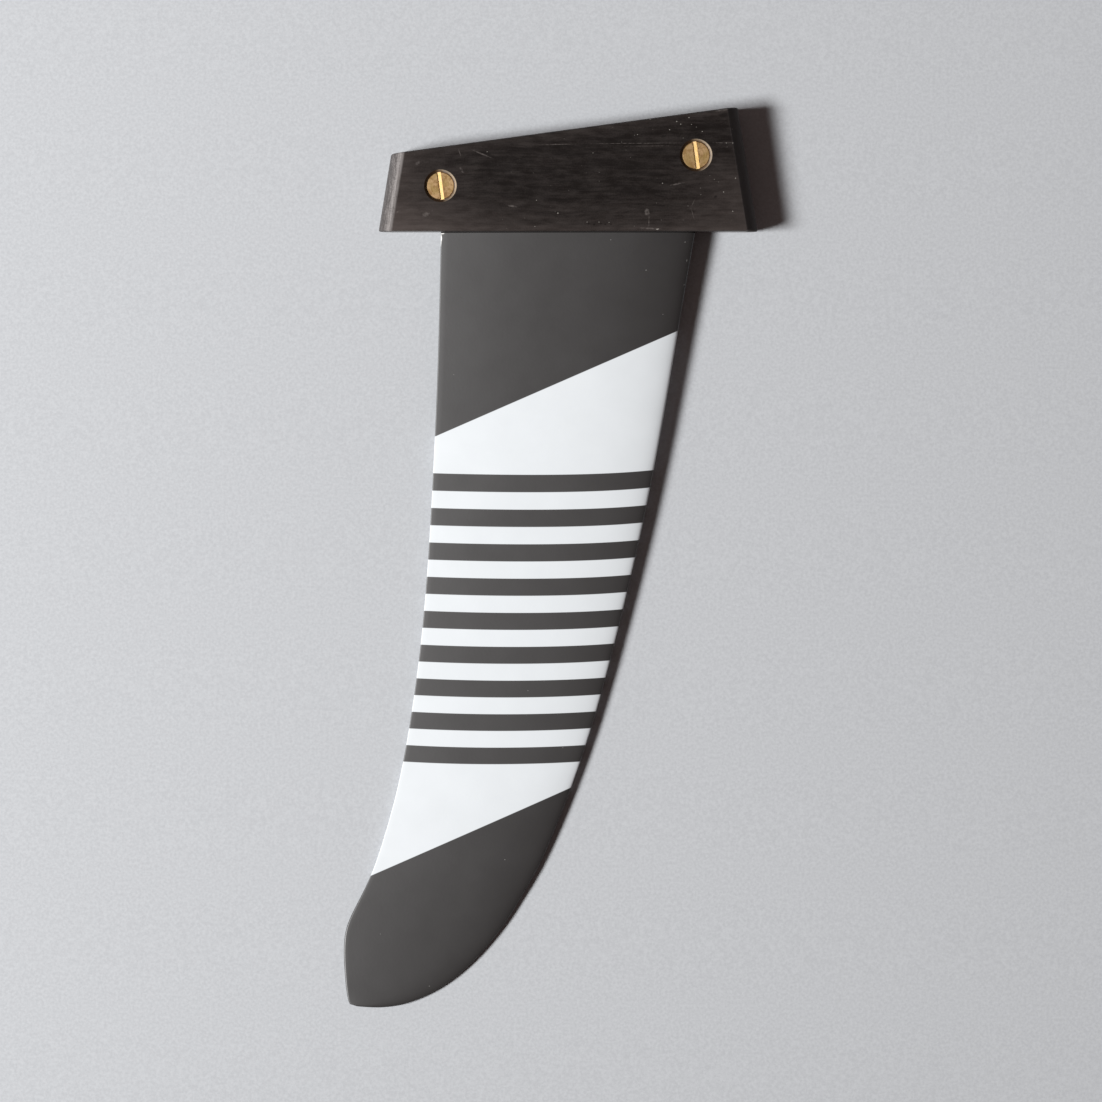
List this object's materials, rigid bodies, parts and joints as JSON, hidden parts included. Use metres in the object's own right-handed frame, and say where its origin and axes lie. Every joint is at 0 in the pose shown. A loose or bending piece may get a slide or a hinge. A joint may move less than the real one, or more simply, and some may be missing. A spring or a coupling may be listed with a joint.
{
  "type": "windsurf fin",
  "caption": "Windsurf fin with a swept foil blade, a wedge-shaped head for a two-bolt fin box, and brass barrel nuts for the deck bolts.",
  "frame": {"origin": "middle of the head's lower face, on the centre plane of the fin, where the blade leaves the board", "axes": "+X forward to the leading edge, +Y up into the board along the head, +Z across the thickness to the fin's right side; the fin lies on its left side"},
  "size_m": [0.1811, 0.3941, 0.0176],
  "materials": {
    "blade_paint": "satin paint in charcoal and white fields with stripes, over a moulded carbon and epoxy foil",
    "head_laminate": "sanded black epoxy laminate with a faint lengthwise grain",
    "brass": "turned and left bare, slightly dulled"
  },
  "bodies": {
    "root": {"blade": "blade_paint", "fin_head": "head_laminate", "barrel_nut_rear": "brass", "barrel_nut_front": "brass"}
  },
  "joints": []
}
